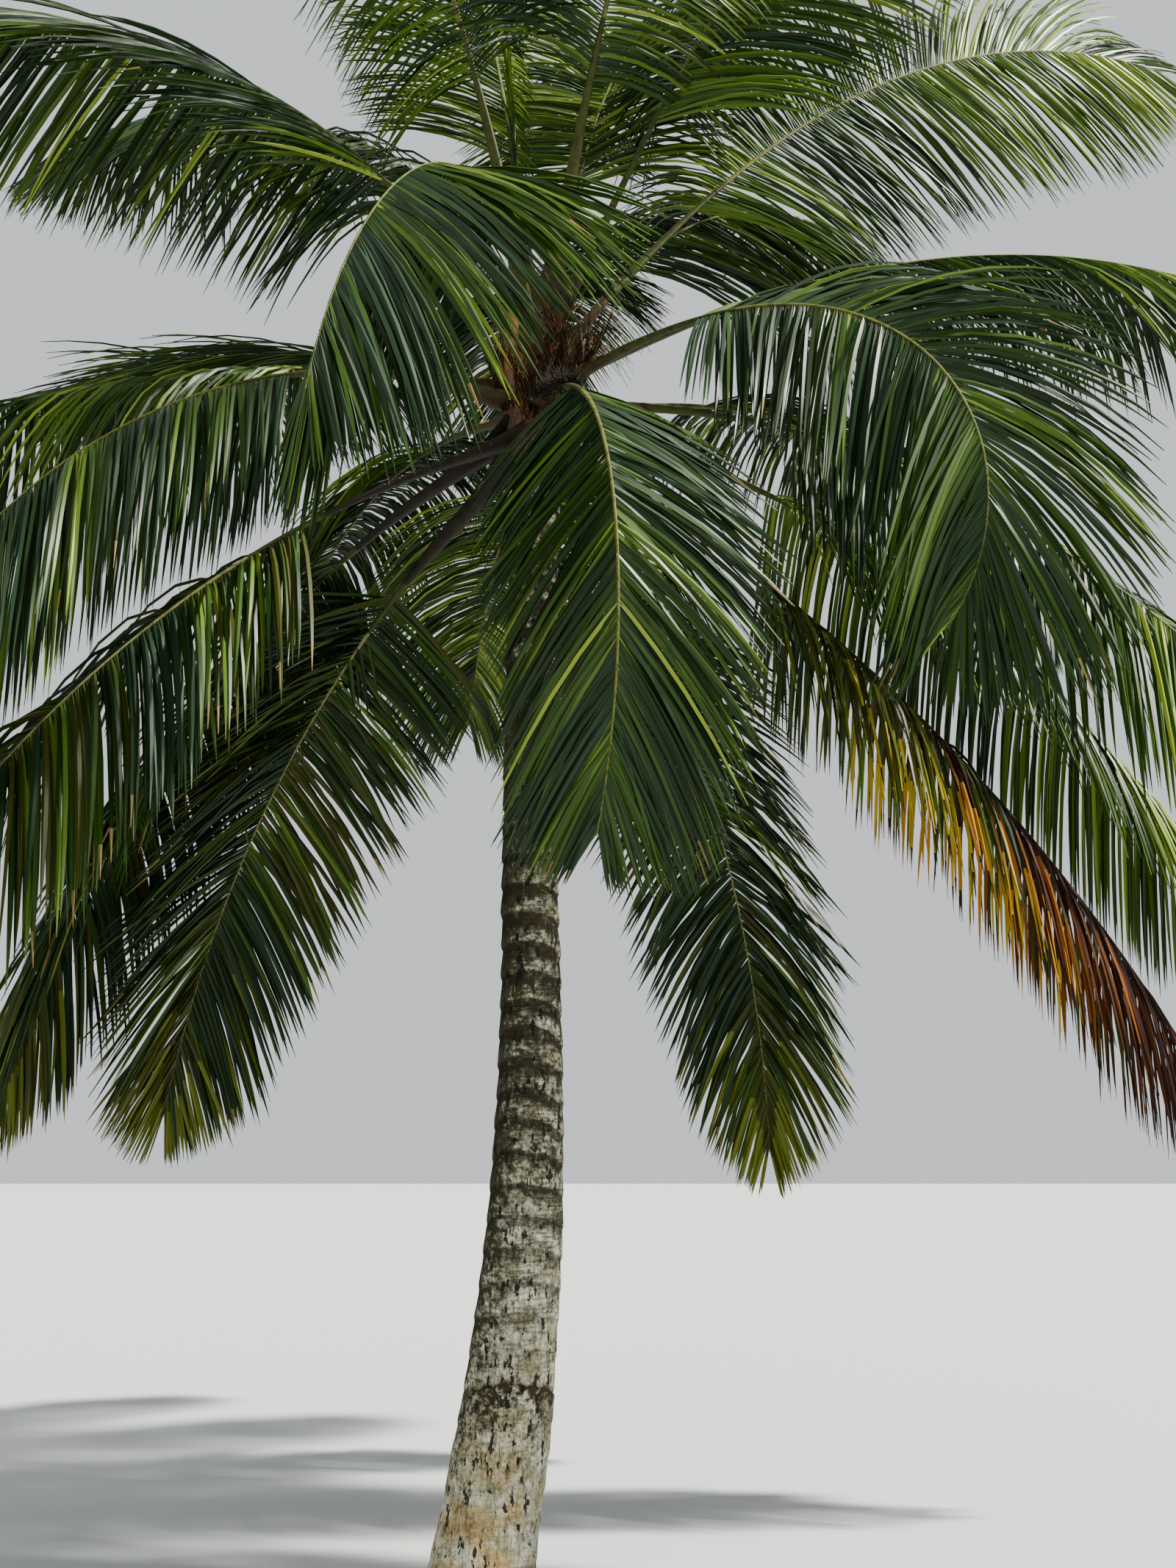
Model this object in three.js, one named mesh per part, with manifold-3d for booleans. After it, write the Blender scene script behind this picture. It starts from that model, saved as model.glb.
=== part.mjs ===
// A coconut palm at its real size: leaning ringed trunk, crown heart and fronds.
// Millimetres, +Z up. The origin is the middle of the flat cut under the trunk, at ground level.
// Looking along +Y gives the palm's front, with +X to the right.
import * as THREE from "three";
import { mergeVertices } from "three/addons/utils/BufferGeometryUtils.js";
import Module from "manifold-3d";

const wasm = await Module();
wasm.setup();

// Trunk: the line that its middle follows, as offset along X and height
const TRUNK_LINE = [
  [0, 0],
  [94, 630],
  [151, 1190],
  [174, 1780],
  [172, 2390],
  [163, 2880],
  [165, 3570],
  [183, 4450],
];
const TRUNK_TOP_RADIUS = 98;
const TRUNK_SWELL = 92; // what the old wood low down adds to the radius
const TRUNK_SWELL_HEIGHT = 1700;
const FLARE = 36; // what the root flare adds at the ground
const FLARE_HEIGHT = 70;
const TRUNK_RINGS = 30;
const TRUNK_SIDES = 20;

// Crown heart: the bulge of leaf sheaths that carries the fronds
const HEART_X = 183;
const HEART_FOOT = 4450;
const HEART_PROFILE = [
  [94, 0],
  [118, 90],
  [140, 220],
  [150, 380],
  [144, 540],
  [122, 680],
  [86, 800],
  [44, 880],
];
const HEART_TOP = 905;
const HEART_SIDES = 20;
const SEAT_GAP = 0.3; // between the heart and what it carries

// Fronds. heading: 0 is +X, 90 is away, 180 is -X, 270 is towards the front. rise: the angle
// above level at the heart. bend: how far the rib has turned down at its end. late: over 1
// bends most near the end. sway: sideways turn at the end. seat: height above the heart's foot.
// roll: how far the blade turns about its rib, its right side down. lift: the leaflets' angle
// above the blade. limp: how fast a leaflet turns down along its length, for each metre.
const FRONDS = [
  { heading: 185, rise: 60, bend: 96, late: 1.3, seat: 520, lift: -40, limp: 0.5, leaf: 1.15 },
  {
    heading: 263,
    rise: 56,
    bend: 133,
    length: 3200,
    late: 0.6,
    sway: -17,
    seat: 380,
    roll: 20,
    lift: -40,
    limp: 0.8,
  },
  {
    heading: 283,
    rise: -13,
    bend: 124,
    length: 2900,
    seat: 250,
    roll: 20,
    lift: -30,
    limp: 0.8,
    leaf: 0.85,
  },
  {
    heading: 62,
    rise: -23,
    bend: 64,
    length: 4100,
    late: 1.3,
    seat: 110,
    lift: -10,
    limp: 1,
    leaf: 0.93,
  },
  {
    heading: 17,
    rise: -22,
    bend: 39,
    length: 4500,
    late: 0.9,
    seat: 110,
    roll: 20,
    lift: -20,
    limp: 4,
    leaf: 0.88,
  },
  { heading: 18, rise: 0, bend: 58, late: 0.8, seat: 210, lift: -20, limp: 3 },
  { heading: 348, rise: 4, bend: 68, late: 0.7, seat: 260, roll: 40, lift: -10, limp: 3.2 },
  {
    heading: 328,
    rise: 17,
    bend: 146,
    length: 3000,
    late: 1.5,
    seat: 340,
    roll: 60,
    lift: -5,
    limp: 1.1,
  },
  { heading: 9, rise: 31, bend: 66, late: 1.6, seat: 400, roll: 30, lift: -15, limp: 1.8 },
  {
    heading: 14,
    rise: 53,
    bend: 55,
    late: 1.8,
    sway: 8,
    seat: 540,
    roll: 80,
    lift: -12,
    limp: 0.8,
  },
  {
    heading: 346,
    rise: 66,
    bend: 45,
    late: 1.8,
    seat: 640,
    roll: 75,
    lift: -15,
    limp: 0.8,
    leaf: 1.15,
  },
  { heading: 112, rise: 76, bend: 30, length: 4400, seat: 700, lift: 5, limp: 1 },
  { heading: 67, rise: 74, bend: 42, seat: 600, lift: 5, limp: 1 },
  { heading: 140, rise: 27, bend: 26, length: 4000, sway: -5, seat: 380, lift: -5, limp: 0.8 },
  { heading: 172, rise: 23, bend: 52, length: 4200, late: 0.75, seat: 330, lift: -20, limp: 3.5 },
  { heading: 200, rise: 24, bend: 120, length: 4200, late: 0.75, seat: 240, lift: -30, limp: 3 },
  { heading: 195, rise: -20, bend: 55, late: 0.9, seat: 110, roll: -40, lift: -10, limp: 3 },
  { heading: 136, rise: -19, bend: 55, length: 4000, late: 1, seat: 80, lift: -15, limp: 0.5 },
  {
    heading: 151,
    rise: -13,
    bend: 58,
    late: 0.85,
    sway: 4,
    seat: 170,
    roll: -15,
    lift: -10,
    limp: 1.8,
  },
  { heading: 100, rise: 7, bend: 42, length: 3000, seat: 170 },
  { heading: 228, rise: 74, bend: 62, late: 1.6, seat: 690 },
  { heading: 44, rise: 62, bend: 84, length: 3900, seat: 410, roll: 45, lift: -10, limp: 1 },
  { heading: 96, rise: 50, bend: 75, seat: 520, roll: -20 },
  { heading: 78, rise: 14, bend: 75, seat: 300, roll: 20, limp: 2.5 },
  { heading: 120, rise: 20, bend: 75, length: 4200, seat: 270, roll: -30, limp: 2.5 },
  { heading: 149, rise: 62, bend: 72, length: 4200, seat: 540, roll: -25, limp: 2 },
  { heading: 42, rise: 26, bend: 66, seat: 250, roll: 25, limp: 2 },
  { heading: 300, rise: 71, bend: 60, late: 1.6, seat: 640 },
  { heading: 168, rise: 87, bend: 4, length: 2700, seat: 780, leaf: 0.3 },
];
const FROND_LENGTH = 4300; // of the rib, where a frond gives no other
const FROND_LATE = 1.4;
const ROLL_END = 0.4; // the share of the rib by which the blade has rolled
const SPLIT_BEND = 85; // a frond that turns down by more than this is two solids
const SPLIT_AT = 0.52; // the share of the rib's length where they meet
const SEAT_RADIUS = 70; // how far from the heart's axis a rib starts, inside the heart
const RIB_STEPS = 48;

// Rib section, a flat-topped bar that tapers from the heart to the tip
const PETIOLE = 0.24; // the share of the rib that bears no leaflets
const RIB_WIDE = 50;
const RIB_TIP_WIDE = 14;
const RIB_DEEP = 40;
const RIB_TIP_DEEP = 12;
const FOOT_WIDE = 32; // what the clasping foot adds
const FOOT_END = 0.12;

// Leaflets
const LEAVES_A_SIDE = 13;
const LEAF_FIRST = 0.25;
const LEAF_LAST = 0.985;
const LEAF_LONG = 980;
const LEAF_THICK = 11;
const LEAF_SPREAD_FOOT = 72; // degrees between rib and leaflet
const LEAF_SPREAD_TIP = 16;
const LEAF_SPREAD_LATE = 1.6; // over 1 keeps that angle wide until near the tip
const LEAF_LIFT = 10; // degrees, where a frond gives no other
const LEAF_LIMP = 1.6;
const LEAF_FOOT_LONG = 0.8; // the share of the full length that the first leaflets have
const LEAF_ROOT_SHARE = 0.7; // of the pitch, at the rib
const LEAF_MID_SHARE = 0.64; // of the pitch, half way out
const LEAF_MID = 0.5;
const LEAF_STEPS = 6;
const LEAF_CUTS = [1, 0.8, 0.6, 0.42, 0.26]; // lengths tried where a leaflet would touch another
const CLEAR = 1; // kept between leaflets of two fronds

const COLOURS = {
  bark: { color: 0xa39a88, roughness: 0.95, metalness: 0 },
  fibre: { color: 0x7a5a35, roughness: 0.95, metalness: 0 },
  leaf: { color: 0x3f5c22, roughness: 0.5, metalness: 0 },
};

const DOWN = new THREE.Vector3(0, 0, -1);
const radians = THREE.MathUtils.degToRad;

// A closed mesh, from corners that its faces share
class Shell {
  constructor() {
    this.corners = [];
    this.faces = [];
  }

  add(point) {
    this.corners.push(point.x, point.y, point.z);
    return this.corners.length / 3 - 1;
  }

  fan(loop) {
    for (let i = 1; i < loop.length - 1; i += 1) {
      this.faces.push(loop[0], loop[i], loop[i + 1]);
    }
  }

  // Joins two loops of the same number of corners
  skin(from, to) {
    from.forEach((corner, i) => {
      const j = (i + 1) % from.length;
      this.fan([corner, from[j], to[j], to[i]]);
    });
  }

  // Closes a loop over a point
  spire(loop, tip) {
    loop.forEach((corner, i) => this.faces.push(corner, loop[(i + 1) % loop.length], tip));
  }

  geometry() {
    const made = new THREE.BufferGeometry();
    made.setAttribute("position", new THREE.Float32BufferAttribute(this.corners, 3));
    made.setIndex(this.faces);
    return made;
  }
}

function solidOf(geometry) {
  const bare = geometry.clone();
  bare.deleteAttribute("normal");
  bare.deleteAttribute("uv");
  const merged = mergeVertices(bare, 1e-3);
  return new wasm.Manifold(
    new wasm.Mesh({
      numProp: 3,
      vertProperties: merged.attributes.position.array,
      triVerts: new Uint32Array(merged.index.array),
    }),
  );
}

function geometryOf(solid) {
  const mesh = solid.getMesh();
  const made = new THREE.BufferGeometry();
  made.setAttribute("position", new THREE.Float32BufferAttribute(mesh.vertProperties, 3));
  made.setIndex(new THREE.BufferAttribute(mesh.triVerts, 1));
  return made;
}

function trunkRadius(height) {
  const swell = TRUNK_SWELL * Math.exp(-((height / TRUNK_SWELL_HEIGHT) ** 1.5));
  return TRUNK_TOP_RADIUS + swell + FLARE * Math.exp(-height / FLARE_HEIGHT);
}

// Level rings along the trunk's line, closer together in the root flare
function trunkGeometry() {
  const line = new THREE.CatmullRomCurve3(
    TRUNK_LINE.map(([x, z]) => new THREE.Vector3(x, 0, z)),
  );
  const shell = new Shell();
  const rings = [];
  for (let i = 0; i <= TRUNK_RINGS; i += 1) {
    const middle = line.getPoint((i / TRUNK_RINGS) ** 1.5);
    const radius = trunkRadius(middle.z);
    const ring = [];
    for (let k = 0; k < TRUNK_SIDES; k += 1) {
      const turn = (2 * Math.PI * k) / TRUNK_SIDES;
      const out = new THREE.Vector3(Math.cos(turn), Math.sin(turn), 0);
      ring.push(shell.add(out.multiplyScalar(radius).add(middle)));
    }
    rings.push(ring);
  }
  rings.slice(1).forEach((ring, i) => shell.skin(rings[i], ring));
  shell.fan([...rings[0]].reverse());
  shell.fan(rings.at(-1));
  return shell.geometry();
}

// grow makes the heart that much fatter all round, to cut its carried pieces with
function heartGeometry(grow) {
  const profile = [
    [0, -grow],
    ...HEART_PROFILE.map(([radius, height], i) => [radius + grow, height - (i ? 0 : grow)]),
    [0, HEART_TOP + grow],
  ];
  const lathe = new THREE.LatheGeometry(
    profile.map(([radius, height]) => new THREE.Vector2(radius, height)),
    HEART_SIDES,
  );
  lathe.rotateX(Math.PI / 2);
  lathe.translate(HEART_X, 0, HEART_FOOT + SEAT_GAP);
  return lathe;
}

// The rib's middle line, with its frame at any share of its length
class Rib extends THREE.Curve {
  constructor(frond) {
    super();
    const plain = { length: FROND_LENGTH, late: FROND_LATE, sway: 0, roll: 0, leaf: 1 };
    this.frond = { ...plain, lift: LEAF_LIFT, limp: LEAF_LIMP, ...frond };
    const { heading, seat, length } = this.frond;
    const out = new THREE.Vector3(Math.cos(radians(heading)), Math.sin(radians(heading)), 0);
    const at = new THREE.Vector3(HEART_X, 0, HEART_FOOT + seat).addScaledVector(out, SEAT_RADIUS);
    this.points = [at.clone()];
    for (let i = 0; i < RIB_STEPS; i += 1) {
      at.addScaledVector(this.frameAt((i + 0.5) / RIB_STEPS).along, length / RIB_STEPS);
      this.points.push(at.clone());
    }
  }

  // Unit vectors: along the rib, up from its top face, and out to its right side
  frameAt(share) {
    const { heading, rise, bend, late, sway, roll } = this.frond;
    const lift = radians(rise - bend * share ** late);
    const turn = radians(heading + sway * share ** 1.3);
    const out = new THREE.Vector3(Math.cos(turn), Math.sin(turn), 0);
    const along = out.clone().multiplyScalar(Math.cos(lift)).setZ(Math.sin(lift));
    const rolled = radians(roll * Math.min(1, share / ROLL_END));
    const up = out.multiplyScalar(-Math.sin(lift)).setZ(Math.cos(lift));
    up.applyAxisAngle(along, rolled);
    return { along, up, right: along.clone().cross(up) };
  }

  getPoint(share) {
    const place = Math.min(Math.max(share, 0), 1) * RIB_STEPS;
    const before = Math.min(Math.floor(place), RIB_STEPS - 1);
    return this.points[before].clone().lerp(this.points[before + 1], place - before);
  }

  // The four corners of the rib's section: top left, top right, bottom right, bottom left
  sectionAt(share, grow = 0) {
    const foot = FOOT_WIDE * Math.max(0, 1 - share / FOOT_END) ** 2;
    const wide = THREE.MathUtils.lerp(RIB_WIDE, RIB_TIP_WIDE, share) + foot + 2 * grow;
    const deep = THREE.MathUtils.lerp(RIB_DEEP, RIB_TIP_DEEP, share) + 2 * grow;
    const { up, right } = this.frameAt(share);
    const middle = this.getPoint(share);
    const corner = (x, y) =>
      middle
        .clone()
        .addScaledVector(right, (x * wide) / 2)
        .addScaledVector(up, (y * deep) / 2);
    return [corner(-1, 1), corner(1, 1), corner(1, -1), corner(-1, -1)];
  }

  leafLength(share) {
    const far = (share - PETIOLE) / (1 - PETIOLE);
    const full = Math.sin((Math.PI / 2) * Math.min(1, far / 0.7) ** 0.8);
    const rise = THREE.MathUtils.lerp(LEAF_FOOT_LONG, 1, full);
    const fall = 0.72 * Math.max(0, (far - 0.7) / 0.3) ** 1.3;
    return LEAF_LONG * this.frond.leaf * (rise - fall);
  }

  // A point of the blade that all leaflets of one side lie in: side is 1 right or -1 left, and
  // out runs from 0 at the rib to 1 at the leaflet's tip
  leafPoint(share, side, out, cut) {
    const { along, up, right } = this.frameAt(share);
    const far = (share - PETIOLE) / (1 - PETIOLE);
    const closed = far ** LEAF_SPREAD_LATE;
    const spread = radians(THREE.MathUtils.lerp(LEAF_SPREAD_FOOT, LEAF_SPREAD_TIP, closed));
    const lift = radians(this.frond.lift);
    const start = along
      .clone()
      .multiplyScalar(Math.cos(spread))
      .addScaledVector(right, Math.sin(spread) * Math.cos(lift) * side)
      .addScaledVector(up, Math.sin(spread) * Math.sin(lift));
    const length = this.leafLength(share);
    const limp = (this.frond.limp * length) / 1000;
    const at = this.getPoint(share);
    const way = new THREE.Vector3();
    const end = out * cut;
    for (let i = 0; i < LEAF_STEPS; i += 1) {
      const here = ((i + 0.5) / LEAF_STEPS) * end;
      way.copy(start).addScaledVector(DOWN, limp * here ** 1.2).normalize();
      at.addScaledVector(way, (length * end) / LEAF_STEPS);
    }
    const normal = way.clone().cross(along).multiplyScalar(side).normalize();
    if (normal.dot(up) + side * normal.dot(right) < 0) {
      normal.negate();
    }
    return { at, normal };
  }
}

// A leaflet's middle loop, in the order of the rib corners that it grows from, and its tip
function leafShape(rib, share, pitch, side, cut, grow = 0) {
  const half = (LEAF_MID_SHARE * pitch) / 2;
  const near = rib.leafPoint(share - half, side, LEAF_MID, cut);
  const far = rib.leafPoint(share + half, side, LEAF_MID, cut);
  const lift = LEAF_THICK / 2 + grow;
  const top = ({ at, normal }) => at.clone().addScaledVector(normal, lift);
  const bottom = ({ at, normal }) => at.clone().addScaledVector(normal, -lift);
  const loop =
    side > 0
      ? [top(near), bottom(near), bottom(far), top(far)]
      : [bottom(near), top(near), top(far), bottom(far)];
  return { loop, tip: rib.leafPoint(share, side, 1, cut).at };
}

// The rib corners that a leaflet grows from, with the same winding
function rootLoop(near, far, side) {
  return side > 0 ? [near[1], near[2], far[2], far[1]] : [near[3], near[0], far[0], far[3]];
}

// One leaflet alone, a little fat, to test what it would touch
function leafSolid(rib, share, pitch, side, cut) {
  const half = (LEAF_ROOT_SHARE * pitch) / 2;
  const near = rib.sectionAt(share - half);
  const far = rib.sectionAt(share + half);
  const { loop, tip } = leafShape(rib, share, pitch, side, cut, CLEAR);
  const shell = new Shell();
  const root = rootLoop(near, far, side).map((corner) => shell.add(corner));
  const middle = loop.map((corner) => shell.add(corner));
  shell.fan([...root].reverse());
  shell.skin(root, middle);
  shell.spire(middle, shell.add(tip));
  return solidOf(shell.geometry());
}

// The bare rib from one share of its length to another
function ribSolid(rib, from, to, grow) {
  const shell = new Shell();
  const stations = [];
  for (let i = 0; i <= RIB_STEPS; i += 1) {
    const share = THREE.MathUtils.lerp(from, to, i / RIB_STEPS);
    stations.push(rib.sectionAt(share, grow).map((corner) => shell.add(corner)));
  }
  stations.slice(1).forEach((section, i) => shell.skin(stations[i], section));
  shell.fan([...stations[0]].reverse());
  shell.fan(stations.at(-1));
  return solidOf(shell.geometry());
}

// Where the leaflets of one frond stand along its rib
function leafShares() {
  const pitch = (LEAF_LAST - LEAF_FIRST) / LEAVES_A_SIDE;
  return Array.from({ length: LEAVES_A_SIDE }, (_, i) => ({
    share: LEAF_FIRST + (i + 0.5) * pitch,
    pitch,
  }));
}

function boxesMeet(a, b) {
  return [0, 1, 2].every((i) => a.min[i] < b.max[i] && b.min[i] < a.max[i]);
}

function touches(solid, others) {
  const box = solid.boundingBox();
  return others.some(
    (other) => boxesMeet(box, other.box) && !solid.intersect(other.solid).isEmpty(),
  );
}

function boxed(solid) {
  return { solid, box: solid.boundingBox() };
}

// Gives each leaflet the longest cut that touches no other frond, or none
function cutLeaves(ribs, fixed) {
  const ribSolids = ribs.map((rib) => boxed(ribSolid(rib, 0, 1, CLEAR)));
  const placed = ribs.map(() => []);
  return ribs.map((rib, i) => {
    const others = [...fixed, ...ribSolids.filter((_, k) => k !== i), ...placed.flat()];
    const cuts = leafShares().map(({ share, pitch }) =>
      [-1, 1].map((side) => {
        for (const cut of LEAF_CUTS) {
          const solid = leafSolid(rib, share, pitch, side, cut);
          if (!touches(solid, others)) {
            placed[i].push(boxed(solid));
            return cut;
          }
        }
        return 0;
      }),
    );
    return cuts;
  });
}

// One frond, or a stretch of it, as a single solid: the rib with its leaflets grown out of it
function frondSolid(rib, cuts, from, to) {
  const shell = new Shell();
  const stations = [{ share: from }];
  leafShares().forEach(({ share, pitch }, i) => {
    const half = (LEAF_ROOT_SHARE * pitch) / 2;
    if (share - half > from && share + half < to) {
      stations.push({ share: share - half, leaf: { share, pitch, cuts: cuts[i] } });
      stations.push({ share: share + half });
    }
  });
  if (from === 0) {
    stations.splice(1, 0, { share: FOOT_END / 2 }, { share: FOOT_END }, { share: FOOT_END * 1.5 });
  }
  if (to < 1) {
    stations.push({ share: to });
  }
  stations.forEach((station) => {
    station.corners = rib.sectionAt(station.share).map((corner) => shell.add(corner));
  });
  stations.slice(1).forEach((far, i) => {
    const near = stations[i];
    const [topLeft, topRight, bottomRight, bottomLeft] = near.corners;
    shell.fan([topLeft, topRight, far.corners[1], far.corners[0]]);
    shell.fan([bottomRight, bottomLeft, far.corners[3], far.corners[2]]);
    [-1, 1].forEach((side, k) => {
      const root = rootLoop(near.corners, far.corners, side);
      const cut = near.leaf ? near.leaf.cuts[k] : 0;
      if (!cut) {
        shell.fan(root);
        return;
      }
      const { loop, tip } = leafShape(rib, near.leaf.share, near.leaf.pitch, side, cut);
      const middle = loop.map((corner) => shell.add(corner));
      shell.skin(root, middle);
      shell.spire(middle, shell.add(tip));
    });
  });
  shell.fan([...stations[0].corners].reverse());
  if (to < 1) {
    shell.fan(stations.at(-1).corners);
  } else {
    shell.spire(stations.at(-1).corners, shell.add(rib.getPoint(1)));
  }
  return solidOf(shell.geometry());
}

function addPiece(group, name, geometry, finish) {
  const mesh = new THREE.Mesh(geometry, new THREE.MeshStandardMaterial(COLOURS[finish]));
  mesh.name = name;
  group.add(mesh);
}

const palm = new THREE.Group();
const trunk = trunkGeometry();
addPiece(palm, "trunk", trunk, "bark");
addPiece(palm, "crown_heart", geometryOf(solidOf(heartGeometry(0))), "fibre");

const ribs = FRONDS.map((frond) => new Rib(frond));
const seat = solidOf(heartGeometry(SEAT_GAP));
const cuts = cutLeaves(ribs, [boxed(solidOf(trunk)), boxed(seat)]);
ribs.forEach((rib, i) => {
  const name = `frond_${String(i + 1).padStart(2, "0")}`;
  const split = rib.frond.bend > SPLIT_BEND;
  if (!split) {
    addPiece(palm, name, geometryOf(frondSolid(rib, cuts[i], 0, 1).subtract(seat)), "leaf");
    return;
  }
  const gap = SEAT_GAP / rib.frond.length;
  const inner = frondSolid(rib, cuts[i], 0, SPLIT_AT).subtract(seat);
  addPiece(palm, `${name}_inner`, geometryOf(inner), "leaf");
  addPiece(palm, `${name}_outer`, geometryOf(frondSolid(rib, cuts[i], SPLIT_AT + gap, 1)), "leaf");
});

export default palm;
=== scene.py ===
# %% [markdown]
# # A coconut palm
# The palm is a leaning, ringed trunk, a heart of leaf sheaths and fibre at its top, and nearly
# thirty fronds around it. The fixed frame already holds each of these as a plain solid at its
# real size. Here the bark, the heart, the ribs and the leaflets are made in fine detail and
# take the places of those solids. All lengths are metres and +Z is up.

# %% Load the frame
import math

import bpy
import numpy as np
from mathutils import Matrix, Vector, noise


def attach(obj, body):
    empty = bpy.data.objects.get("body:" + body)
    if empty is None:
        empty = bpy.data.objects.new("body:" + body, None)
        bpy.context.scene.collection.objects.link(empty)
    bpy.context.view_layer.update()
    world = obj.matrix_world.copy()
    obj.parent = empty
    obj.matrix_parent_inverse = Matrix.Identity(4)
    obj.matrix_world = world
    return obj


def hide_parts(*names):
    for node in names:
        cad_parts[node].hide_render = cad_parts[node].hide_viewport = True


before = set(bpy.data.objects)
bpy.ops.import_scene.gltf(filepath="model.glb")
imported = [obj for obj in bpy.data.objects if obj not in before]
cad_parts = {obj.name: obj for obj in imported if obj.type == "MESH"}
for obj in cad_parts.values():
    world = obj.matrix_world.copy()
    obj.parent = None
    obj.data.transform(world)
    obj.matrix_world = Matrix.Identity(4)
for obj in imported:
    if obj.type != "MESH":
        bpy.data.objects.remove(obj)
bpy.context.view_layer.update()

# %% [markdown]
# ## The eye
# The palm is seen at standing height, from a little over six metres away, looking up at the
# crown. An ordinary wide portrait lens does that. The focal length is worked out from how many
# pixels one radian takes in a picture of the stated height.

# %% Camera
PICTURE_HIGH = 2133
FOCAL_PIXELS = 2075
EYE = (0.402, -6.1, 1.6)
LOOK_UP = math.radians(13.3)
SENSOR = 36.0


def add_camera():
    """The camera at eye height, tilted up towards the crown."""
    bpy.ops.object.camera_add(location=EYE, rotation=(math.pi / 2 + LOOK_UP, 0, 0))
    camera = bpy.context.object
    camera.name = "eye"
    camera.data.sensor_fit = "VERTICAL"
    camera.data.sensor_height = SENSOR
    camera.data.lens = SENSOR * FOCAL_PIXELS / PICTURE_HIGH
    bpy.context.scene.camera = camera
    return camera


print("lens in millimetres:", round(add_camera().data.lens, 1))

# %% [markdown]
# ## Floor and light
# A studio keeps attention on the plant. A pale floor lies under it, a sun from high on the
# right shapes the crown and leaves its inside dark, and a pale sky fills the shadows. The sun
# is a little wide, so shadows stay soft.

# %% Floor, sun and sky
FLOOR_SIDE = 120
SUN_SIZE = math.radians(3)
SUN_TURN = (math.radians(8), math.radians(42), 0)


def add_studio():
    """The floor, the sun and the sky."""
    bpy.ops.mesh.primitive_plane_add(size=FLOOR_SIDE)
    floor = bpy.context.object
    floor.name = "floor"
    paint = bpy.data.materials.new("floor_paint")
    paint.use_nodes = True
    shader = paint.node_tree.nodes["Principled BSDF"]
    shader.inputs["Base Color"].default_value = (0.46, 0.47, 0.47, 1)
    shader.inputs["Roughness"].default_value = 0.9
    floor.data.materials.append(paint)

    bpy.ops.object.light_add(type="SUN", rotation=SUN_TURN)
    sun = bpy.context.object
    sun.data.energy = 14.0
    sun.data.angle = SUN_SIZE
    sun.data.color = (1.0, 0.96, 0.88)

    sky = bpy.data.worlds.new("studio_sky")
    sky.use_nodes = True
    glow = sky.node_tree.nodes["Background"]
    glow.inputs["Color"].default_value = (0.92, 0.97, 1.0, 1)
    glow.inputs["Strength"].default_value = 0.85
    bpy.context.scene.world = sky
    return sun


print("sun strength:", add_studio().data.energy)

# %% [markdown]
# ## Shader sums as plain expressions
# A procedural finish is mostly arithmetic on patterns. A small class wraps a socket, so that
# `1 - ring * 0.5` adds the Math nodes by itself, and one method adds any other node.

# %% Finish and Wire


class Wire:
    """An output socket that takes arithmetic."""

    def __init__(self, finish, socket):
        self.finish = finish
        self.socket = socket

    def sum(self, operation, first, second):
        return self.finish.node("ShaderNodeMath", {"operation": operation}, {0: first, 1: second})

    def __add__(self, other):
        return self.sum("ADD", self, other)

    def __radd__(self, other):
        return self.sum("ADD", other, self)

    def __sub__(self, other):
        return self.sum("SUBTRACT", self, other)

    def __rsub__(self, other):
        return self.sum("SUBTRACT", other, self)

    def __mul__(self, other):
        return self.sum("MULTIPLY", self, other)

    def __rmul__(self, other):
        return self.sum("MULTIPLY", other, self)


class Finish:
    """A material and the nodes that make it."""

    def __init__(self, name, **plain):
        self.material = bpy.data.materials.new(name)
        self.material.use_nodes = True
        self.tree = self.material.node_tree
        self.shader = self.tree.nodes["Principled BSDF"]
        for socket, value in plain.items():
            self.shader.inputs[socket.replace("_", " ")].default_value = value

    def node(self, kind, settings=None, sockets=None, output=0):
        """Adds a node, its settings first and then the values or wires of its sockets."""
        made = self.tree.nodes.new(kind)
        for setting, value in (settings or {}).items():
            if setting == "stops":
                self.set_stops(made.color_ramp, value)
            else:
                setattr(made, setting, value)
        for socket, value in (sockets or {}).items():
            self.plug(made.inputs[socket], value)
        return Wire(self, made.outputs[output])

    def set_stops(self, ramp, stops):
        while len(ramp.elements) < len(stops):
            ramp.elements.new(0.5)
        for element, (place, value) in zip(ramp.elements, stops):
            element.position = place
            element.color = (value, value, value, 1)

    def plug(self, socket, value):
        if isinstance(value, Wire):
            self.tree.links.new(value.socket, socket)
        else:
            socket.default_value = value

    def feed(self, socket, wire):
        self.plug(self.shader.inputs[socket], wire)

    def place(self, scale=(1, 1, 1)):
        """Object coordinates, stretched by scale."""
        here = self.node("ShaderNodeTexCoord", output="Object")
        return self.node("ShaderNodeMapping", None, {"Vector": here, "Scale": scale})

    def attribute(self, name):
        return self.node("ShaderNodeAttribute", {"attribute_name": name}, output="Fac")

    def noise(self, place, scale, detail=4, roughness=0.6):
        sockets = {"Vector": place, "Scale": scale, "Detail": detail, "Roughness": roughness}
        return self.node("ShaderNodeTexNoise", None, sockets)

    def steps(self, value, stops):
        return self.node("ShaderNodeValToRGB", {"stops": stops}, {"Fac": value})

    def blend(self, share, below, above):
        """The colour above over the colour below, by share."""
        settings = {"data_type": "RGBA", "clamp_factor": True}
        return self.node("ShaderNodeMix", settings, {0: share, 6: below, 7: above}, output=2)

    def bump(self, height, strength, distance):
        sockets = {"Height": height, "Strength": strength, "Distance": distance}
        self.feed("Normal", self.node("ShaderNodeBump", None, sockets))


def colour(red, green, blue):
    return (red, green, blue, 1.0)


print("finishes are ready to be mixed")

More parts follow.
